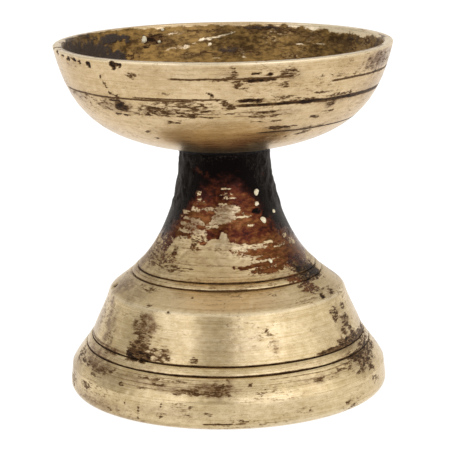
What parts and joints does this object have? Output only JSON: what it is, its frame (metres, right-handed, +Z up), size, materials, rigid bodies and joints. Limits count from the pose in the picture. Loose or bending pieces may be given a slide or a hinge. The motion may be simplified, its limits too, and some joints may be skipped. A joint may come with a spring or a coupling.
{
  "type": "pedestal votive bowl",
  "caption": "Shallow round brass bowl riveted to a hollow bell-shaped foot with turned grooves, for a votive candle or an oil flame.",
  "frame": {"origin": "centre of the foot on the plane it rests on", "axes": "+Z up along the turning axis, from the foot to the bowl's rim"},
  "size_m": [0.09, 0.09, 0.0942],
  "materials": {
    "bowl_brass": "turned, worn, tarnished inside",
    "foot_brass": "turned, worn, dark in the grooves",
    "rivet_brass": "hammered, tarnished",
    "washer_brass": "rough, tarnished",
    "pitch": "hard black pitch"
  },
  "bodies": {
    "root": {"bowl": "bowl_brass", "pedestal_foot": "foot_brass", "centre_rivet": "rivet_brass", "rivet_washer": "washer_brass", "joint_bead": "pitch"}
  },
  "joints": []
}
